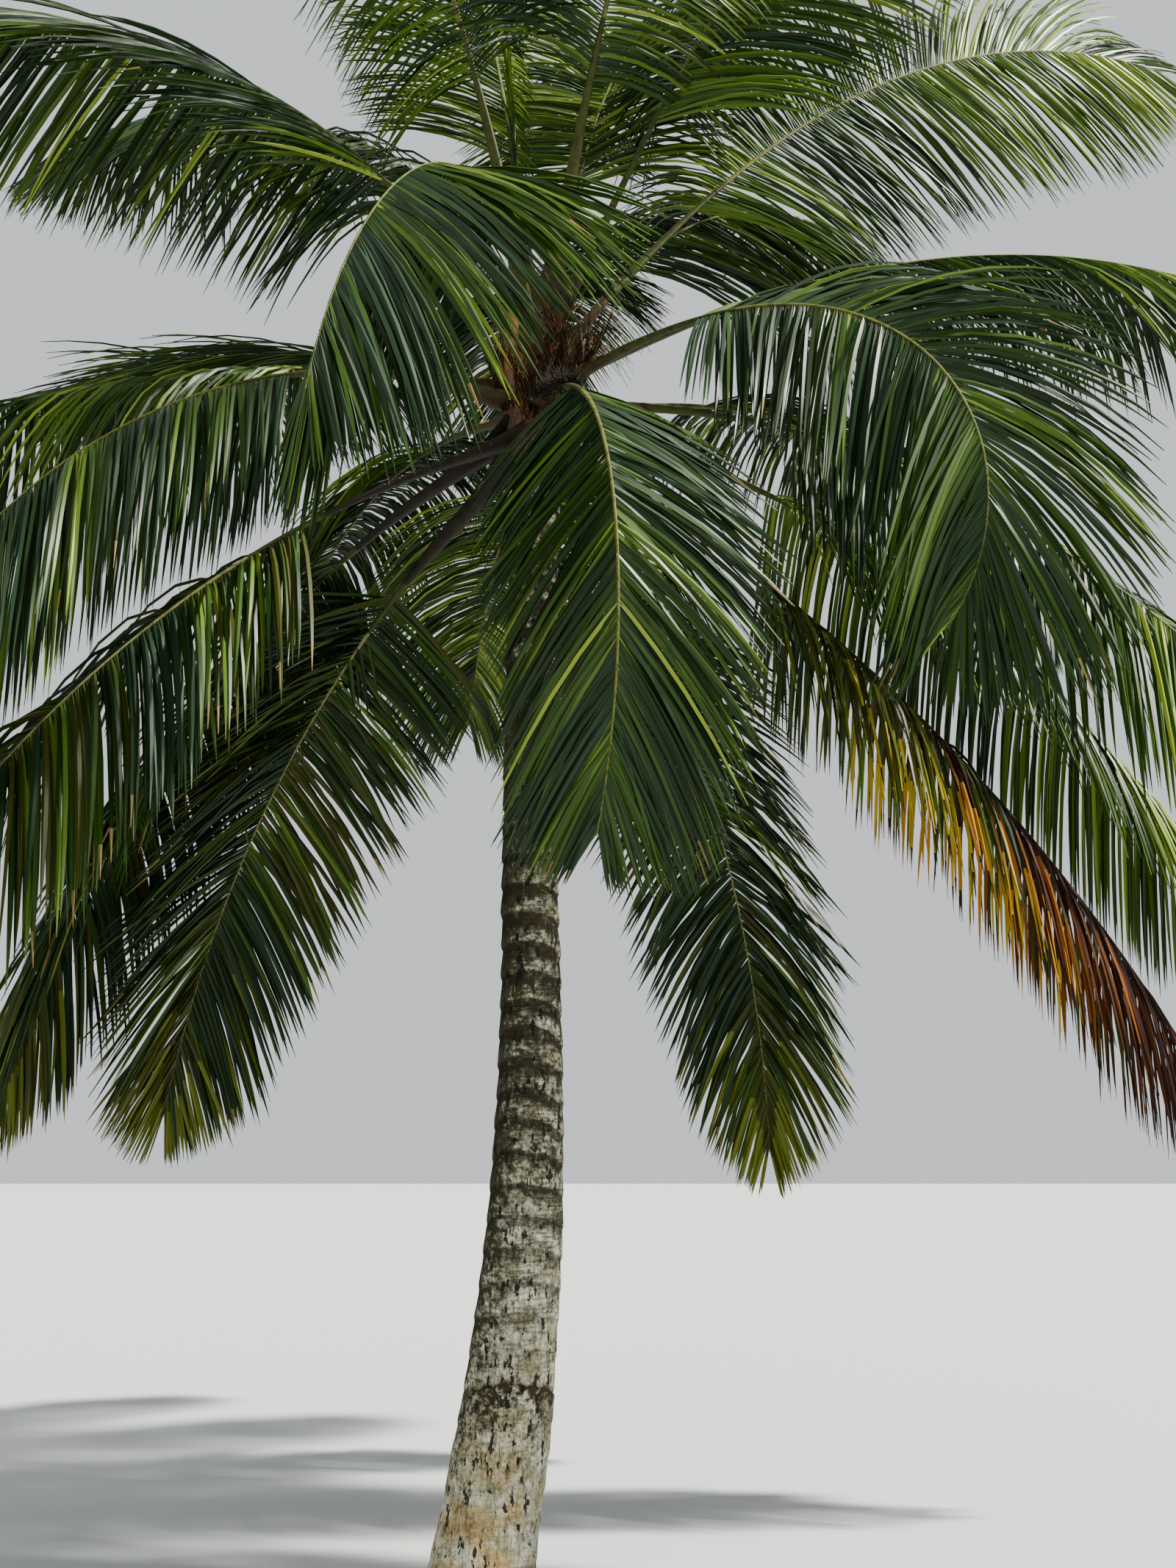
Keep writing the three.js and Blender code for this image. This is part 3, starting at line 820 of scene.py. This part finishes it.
def leaf_straps(rib, shares, side, rng):
    """The four corners of every section of every leaflet."""
    points, ways, normals = leaf_midlines(rib, shares, side, rng)
    broad = np.cross(normals, ways)
    roll = np.radians(side * LEAF_ROLL + rng.normal(0, ROLL_LOOSE, len(shares)))[:, None, None]
    twist = rng.normal(0, TWIST_LOOSE, len(shares))[:, None, None] * LEAF_STATIONS[None, :, None]
    turned = roll + twist
    wide_way = np.cos(turned) * broad + np.sin(turned) * normals
    ridge_way = np.cos(turned) * normals - np.sin(turned) * broad
    size = (rib.leaf_lengths(shares) / LEAF_LONG) ** 0.5
    if rib.age == "turning":
        size = size * np.interp(shares, WITHERS, (1, 0.5))
    half = (LEAF_WIDE[rib.age] / 2 * size[:, None] * LEAF_WIDTHS)[..., None]
    drop = ridge_way * half * LEAF_FOLD
    ridge = points + ridge_way * LEAF_THICK
    under = points - ridge_way * LEAF_THICK * 0.4
    return np.stack([points + wide_way * half - drop, ridge,
                     points - wide_way * half - drop, under], axis=2)


print("leaflets on a frond:", 2 * LEAVES_A_SIDE)

# %% Tubes from sections


def tubes(name, rings, materials, band_paints):
    """Joins rows of rings into closed tubes. band_paints gives each band's material."""
    count, stations, sides, _ = rings.shape
    index = np.arange(count * stations * sides).reshape(count, stations, sides)
    following = np.roll(index, -1, axis=2)
    walls = np.stack([index[:, :-1], following[:, :-1], following[:, 1:], index[:, 1:]], axis=-1)
    starts = index[:, 0, ::-1]
    ends = index[:, -1]
    faces = walls.reshape(-1, 4).tolist() + starts.tolist() + ends.tolist()
    mesh = bpy.data.meshes.new(name)
    mesh.from_pydata(rings.reshape(-1, 3).tolist(), [], faces)
    wall_paints = np.repeat(band_paints.reshape(-1), sides)
    paints = np.concatenate([wall_paints, band_paints[:, 0], band_paints[:, -1]])
    mesh.polygons.foreach_set("material_index", paints.astype(np.int32))
    for material in materials:
        mesh.materials.append(material)
    piece = bpy.data.objects.new(name, mesh)
    bpy.context.scene.collection.objects.link(piece)
    return piece


def smooth_along(piece, angle):
    """Smooths a piece but keeps folds sharper than the angle."""
    select_none()
    piece.select_set(True)
    bpy.context.view_layer.objects.active = piece
    bpy.ops.object.shade_smooth_by_angle(angle=math.radians(angle))


print("tube maker is ready")

# %% Leaflets of every frond
SEED = 4183


def add_leaflets(number, rib):
    """All leaflets of one frond as one piece, which replaces the frond's solids."""
    rng = np.random.default_rng(SEED + number)
    straps, paints = [], []
    for side in (1, -1):
        pitch = (LEAF_LAST - LEAF_FIRST) / LEAVES_A_SIDE
        shares = LEAF_FIRST + (np.arange(LEAVES_A_SIDE) + 0.5 + 0.25 * side) * pitch
        shares = shares + rng.normal(0, 0.15, LEAVES_A_SIDE) * pitch
        shares = np.clip(shares, LEAF_FIRST, LEAF_LAST)
        straps.append(leaf_straps(rib, shares, side, rng))
        paints.append(deal_paints(rib, shares, len(LEAF_STATIONS) - 1, rng))
    name = f"leaflets_{number:02d}"
    piece = tubes(name, np.concatenate(straps), LEAF_FINISHES, np.concatenate(paints))
    smooth_along(piece, 25)
    solid = f"frond_{number:02d}"
    solids = [solid + "_inner", solid + "_outer"] if rib.bend > SPLIT_BEND else [solid]
    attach(piece, "root")
    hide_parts(*solids)
    return piece


leaflets = [add_leaflets(number, rib) for number, rib in enumerate(ribs, start=1)]
print("leaf faces:", sum(len(piece.data.polygons) for piece in leaflets))

# %% [markdown]
# ## Ribs
# The rib is a strong bar, rounded below and flat on top, brown at its foot, green where it is
# bare and paler between the leaflets. On old fronds the bare part, the petiole, is broad and
# painted nearly black, as painted shade. At its foot the rib widens into a clasp that holds on
# to the heart. A section of a dozen corners swept along the same line gives all of that.

# %% Rib shape
RIB_SHARES = (0, 0.05, 0.14, 0.26, 0.42, 1)
RIB_WIDE = (0.082, 0.074, 0.062, 0.028, 0.014, 0.005)
RIB_DEEP = (0.056, 0.052, 0.044, 0.024, 0.014, 0.005)
FOOT_END = 0.1
OLD_STALK_SHADE_END = 0.22
OLD_STALK_GROWS = 1.4
SPINE_START = 0.3
CLASP_WIDE = 0.15
CLASP_END = 0.11
RIB_SIDES = 12
RIB_STATIONS = 60
SPINES = {"old": "pale_spine", "turning": "dry_spine"}


def add_rib(number, rib):
    """The rib of one frond, from its clasping foot to its fine end."""
    shares = np.linspace(0, 1, RIB_STATIONS) ** 1.15
    clasp = np.clip(1 - shares / CLASP_END, 0, 1) ** 2
    grow = np.interp(shares, (0.14, SPINE_START), (OLD_STALK_GROWS, 1)) if rib.age == "old" else 1
    wide = np.interp(shares, RIB_SHARES, RIB_WIDE) * grow + CLASP_WIDE * clasp * rib.leaf**0.5
    deep = np.interp(shares, RIB_SHARES, RIB_DEEP)
    turn = np.linspace(0, 2 * math.pi, RIB_SIDES, endpoint=False)
    _, up, right = rib.frames(shares)
    across = np.cos(turn)[None, :] * wide[:, None] / 2
    height = np.sin(turn)
    height = np.where(height > 0, 0.55 * height, height)[None, :] * deep[:, None] / 2
    height = height + clasp[:, None] * 0.35 * np.abs(across)
    rings = rib.at(shares)[:, None] + right[:, None] * across[..., None]
    rings = rings + up[:, None] * height[..., None]
    rings = rings[:, ::-1]
    middle = (shares[1:] + shares[:-1]) / 2
    spine = RIB_NAMES.index(SPINES.get(rib.age, "spine"))
    paints = np.where(middle < FOOT_END, RIB_NAMES.index("foot"), RIB_NAMES.index("stalk"))
    # Painted shade: the bare part of an old frond's rib is painted nearly black.
    if rib.age == "old":
        paints = np.where(middle < OLD_STALK_SHADE_END, RIB_NAMES.index("old_stalk"), paints)
    paints = np.where(middle > SPINE_START, spine, paints)
    piece = tubes(f"rib_{number:02d}", rings[None], RIB_FINISHES, paints[None])
    smooth_along(piece, 60)
    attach(piece, "root")
    return piece


rib_pieces = [add_rib(number, rib) for number, rib in enumerate(ribs, start=1)]
print("rib faces:", sum(len(piece.data.polygons) for piece in rib_pieces))

# %% [markdown]
# ## Crown heart
# Young sheaths wrap the heart tightly, and old ones leave mats of brown fibre like coarse
# sacking between the petioles. The heart is stacked from rings as the trunk was, and each
# thread of fibre is a thin tube of three sides, because there are thousands of them. A young
# sheath bulges out of it at the front, and the mats, the ragged margins of the petioles and
# a dark tuft are made of single threads, worked out all at once like the leaflets.

# %% Fibre finish


def fibre_finish():
    """Sacking-like fibre, from orange-brown to nearly black."""
    fibre = Finish("fibre", Roughness=0.9)
    even = fibre.place()
    one_way = fibre.node("ShaderNodeMapping", None, {
        "Vector": fibre.place(), "Rotation": (0.5, 0.4, 0.6), "Scale": (1, 1, 0.12)})
    other_way = fibre.node("ShaderNodeMapping", None, {
        "Vector": fibre.place(), "Rotation": (-0.5, -0.4, 0.2), "Scale": (1, 1, 0.12)})
    threads = fibre.noise(one_way, 160, 3, 0.6)
    crossed = fibre.noise(other_way, 160, 3, 0.6)
    patches = fibre.steps(fibre.noise(even, 9, 4), [(0.38, 0), (0.64, 1)])
    base = fibre.blend(patches, colour(0.032, 0.017, 0.009), colour(0.18, 0.078, 0.022))
    weave = fibre.steps(threads, [(0.42, 0), (0.6, 1)]) * 0.6
    base = fibre.blend(weave, base, colour(0.014, 0.009, 0.006))
    over = fibre.steps(crossed, [(0.55, 0), (0.7, 1)]) * 0.6
    base = fibre.blend(over, base, colour(0.34, 0.19, 0.075))
    fibre.feed("Base Color", base)
    fibre.bump(threads + crossed, 0.8, 0.006)
    return fibre.material


FIBRE = fibre_finish()
print("fibre nodes:", len(FIBRE.node_tree.nodes))

# %% Heart mesh
HEART_PROFILE = [
    (0.0, 0.094),
    (0.09, 0.118),
    (0.22, 0.14),
    (0.38, 0.15),
    (0.54, 0.144),
    (0.68, 0.122),
    (0.8, 0.086),
    (0.88, 0.044),
    (0.905, 0.006),
]
HEART_RINGS = 26
HEART_SIDES = 48
FOLDS = 7
FOLD_DEEP = 0.008
ROUGH_DEEP = 0.004


def add_heart():
    """The heart with upright sheath edges in relief."""
    heights, radii = np.array(HEART_PROFILE).T
    stops = np.linspace(0, heights[-1], HEART_RINGS)
    rings = [(HEART_FOOT + stop, float(np.interp(stop, heights, radii))) for stop in stops]
    heart = stack_rings("heart_fibre", rings, lambda height: HEART_X, HEART_SIDES)
    add_modifier(heart, "SUBSURF", levels=1, render_levels=1)
    points = points_of(heart)
    around = np.arctan2(points[:, 1], points[:, 0] - HEART_X)
    folds = np.abs(np.sin(around * FOLDS / 2 + points[:, 2] * 4)) ** 3
    rough = noise_at(points, (40, 40, 10))
    relief = FOLD_DEEP * (folds - 0.5) + ROUGH_DEEP * rough
    inside = np.clip(np.hypot(points[:, 0] - HEART_X, points[:, 1]) / 0.06, 0, 1)
    out = np.stack([np.cos(around), np.sin(around)], axis=1)
    points[:, :2] += out * (relief * inside)[:, None]
    set_points(heart, points)
    finish_piece(heart, FIBRE, "fibre", "crown_heart")
    return heart


print("heart faces:", len(add_heart().data.polygons))

# %% Young sheath
SHEATH_FOOT = (0.105, -0.085, 4.72)
SHEATH_HIGH = 0.46
SHEATH_KEELS = 3
SHEATH_LEAN = (-0.03, -0.01, 0.0)
SHEATH_PROFILE = [
    (0.0, 0.03),
    (0.04, 0.055),
    (0.11, 0.078),
    (0.2, 0.083),
    (0.29, 0.068),
    (0.36, 0.045),
    (0.42, 0.022),
    (0.46, 0.006),
]


def sheath_finish():
    """Smooth orange-brown sheath with fine upright veins."""
    sheath = Finish("sheath", Roughness=0.55)
    veins = sheath.noise(sheath.place((1, 1, 0.08)), 150, 3)
    shade = sheath.steps(sheath.noise(sheath.place((1, 1, 0.4)), 12, 4), [(0.35, 0), (0.65, 1)])
    base = sheath.blend(shade, colour(0.10, 0.038, 0.010), colour(0.42, 0.165, 0.022))
    lines = sheath.steps(veins, [(0.45, 0), (0.62, 1)]) * 0.6
    base = sheath.blend(lines, base, colour(0.05, 0.022, 0.009))
    sheath.feed("Base Color", base)
    sheath.bump(veins, 0.5, 0.003)
    return sheath.material


def add_sheath():
    """A young sheath that bulges out of the heart."""
    x, y, z = SHEATH_FOOT
    rings = [(z + high, wide) for high, wide in SHEATH_PROFILE]
    sheath = stack_rings("young_sheath", rings, lambda height: x, 32)
    add_modifier(sheath, "SUBSURF", levels=2, render_levels=2)
    points = points_of(sheath)
    rise = (points[:, 2] - z)[:, None] / SHEATH_HIGH
    around = np.arctan2(points[:, 1], points[:, 0] - x)
    keel = 1 + 0.12 * np.cos(SHEATH_KEELS * around) * (1 - rise[:, 0])
    points[:, 0] = x + (points[:, 0] - x) * keel
    points[:, 1] = points[:, 1] * keel + y
    points += np.array(SHEATH_LEAN) * rise**1.5
    set_points(sheath, points)
    finish_piece(sheath, sheath_finish(), "fibre")
    return sheath


print("sheath faces:", len(add_sheath().data.polygons))

# %% Threads
FIBRE_PAINTS = {
    "black": (0.006, 0.005, 0.004),
    "dark": (0.020, 0.012, 0.008),
    "brown": (0.070, 0.034, 0.013),
    "rust": (0.23, 0.090, 0.020),
    "straw": (0.42, 0.30, 0.12),
}
FIBRE_NAMES = list(FIBRE_PAINTS)
FIBRE_FINISHES = [rib_paint("fibre_" + name, tint, 0.8) for name, tint in FIBRE_PAINTS.items()]


def add_threads(name, lines, thick, weights, rng):
    """Thin tubes along many lines at once, each in a paint dealt by the weights."""
    ways = unit(np.gradient(lines, axis=1))
    first = unit(np.cross(ways, np.array([0.31, 0.52, 0.79])))
    second = np.cross(ways, first)
    turn = np.linspace(0, 2 * math.pi, 3, endpoint=False)[:, None]
    ring = np.cos(turn) * first[:, :, None] + np.sin(turn) * second[:, :, None]
    taper = np.linspace(1, 0.35, lines.shape[1])[None, :, None, None]
    rings = lines[:, :, None] + ring * thick[:, None, None, None] * taper
    deal = rng.choice(len(FIBRE_NAMES), size=len(lines), p=np.array(weights) / sum(weights))
    paints = np.repeat(deal[:, None], lines.shape[1] - 1, axis=1)
    piece = tubes(name, rings, FIBRE_FINISHES, paints)
    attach(piece, "root")
    return piece


print("thread paints:", FIBRE_NAMES)

# %% Mats, margins and tuft
# Each mat has its middle and width in degrees, its lowest and highest end, and how far out from
# the heart's middle each of these ends is.
MATS = [
    (300, 46, 4.74, 5.18, 0.15, 0.24),
    (342, 34, 4.72, 5.08, 0.16, 0.34),
    (222, 40, 4.66, 5.0, 0.15, 0.27),
    (20, 50, 4.78, 5.2, 0.15, 0.27),
    (80, 60, 4.7, 5.15, 0.15, 0.25),
    (140, 56, 4.72, 5.12, 0.15, 0.27),
    (262, 30, 4.6, 4.86, 0.14, 0.2),
]
MAT_THREADS = 420
MARGIN_THREADS = 44
TUFT_THREADS = 900


def mat_lines(mat, rng):
    """Short crossing threads, like coarse sacking, over a sheet with a ragged top."""
    middle, width, low, high, near, far = mat
    steps = np.linspace(0, 1, 5)
    u = rng.uniform(-0.5, 0.5, MAT_THREADS)[:, None]
    top = 0.78 + 0.22 * np.sin(9 * u + middle)
    v = rng.uniform(0, 1, MAT_THREADS)[:, None] * top
    long = rng.uniform(0.12, 0.34, MAT_THREADS)[:, None]
    way = rng.choice([-1, 1], MAT_THREADS)[:, None] * rng.uniform(0.5, 1.6, MAT_THREADS)[:, None]
    u = u + way * long * steps + 0.015 * rng.normal(0, 1, (MAT_THREADS, 5))
    v = v + long * steps
    turn = np.radians(middle + width * u)
    reach = near + (far - near) * v**1.4 + 0.012 * np.sin(9 * turn) + 0.006 * rng.normal(
        0, 1, (MAT_THREADS, 1))
    x = HEART_X + reach * np.cos(turn)
    return np.stack([x, reach * np.sin(turn), low + (high - low) * v], axis=-1)


def margin_lines(rib, rng):
    """Short threads that stand off both margins of a petiole's foot."""
    shares = rng.uniform(0.025, 0.17, MARGIN_THREADS)
    side = rng.choice([-1, 1], MARGIN_THREADS)[:, None]
    along, up, right = rib.frames(shares)
    half = np.interp(shares, RIB_SHARES, RIB_WIDE) / 2
    half = half + CLASP_WIDE / 2 * np.clip(1 - shares / CLASP_END, 0, 1) ** 2
    foot = rib.at(shares) + side * right * half[:, None] * 0.94
    way = unit(along * rng.uniform(0.3, 1.2, (MARGIN_THREADS, 1)) + side * right * 0.5
               + up * 0.5 + rng.normal(0, 0.35, (MARGIN_THREADS, 3)))
    long = rng.uniform(0.015, 0.075, MARGIN_THREADS) * (1.1 - shares / 0.2)
    steps = np.linspace(0, 1, 5)[None, :, None]
    sag = DOWN * (long[:, None, None] * 0.5) * steps**2
    return foot[:, None] + way[:, None] * long[:, None, None] * steps + sag


def tuft_lines(rib, rng):
    """Curled dark hairs that cling to the top of the front frond's petiole."""
    shares = rng.uniform(0.02, 0.2, TUFT_THREADS)
    _, up, right = rib.frames(shares)
    turn = rng.normal(math.pi / 2, 1.1, (TUFT_THREADS, 1))
    out = np.cos(turn) * right + np.sin(turn) * up
    foot = rib.at(shares) + out * 0.024 + rng.normal(0, 0.01, (TUFT_THREADS, 3))
    way = unit(rng.normal(0, 1, (TUFT_THREADS, 3)) + out * 0.8)
    bend = unit(rng.normal(0, 1, (TUFT_THREADS, 3)))
    long = rng.uniform(0.02, 0.07, TUFT_THREADS)[:, None, None]
    steps = np.linspace(0, 1, 5)[None, :, None]
    return foot[:, None] + (way[:, None] * steps + bend[:, None] * 0.6 * steps**2) * long


def add_fibres():
    """All the loose fibre around the heart, in three joined pieces."""
    rng = np.random.default_rng(SEED)
    mats = np.concatenate([mat_lines(mat, rng) for mat in MATS])
    margins = np.concatenate([margin_lines(rib, rng) for rib in ribs])
    tuft = tuft_lines(ribs[2], rng)
    made = []
    for name, lines, thin, thick, weights in [
        ("fibre_mats", mats, 0.001, 0.0024, (3, 5, 5, 2, 1)),
        ("petiole_margins", margins, 0.001, 0.0028, (0, 1, 3, 3, 3)),
        ("dark_tuft", tuft, 0.0015, 0.003, (9, 3, 0.6, 0, 0)),
    ]:
        thicks = rng.uniform(thin, thick, len(lines))
        made.append(add_threads(name, lines, thicks, weights, rng))
    return made


print("fibre faces:", [len(piece.data.polygons) for piece in add_fibres()])
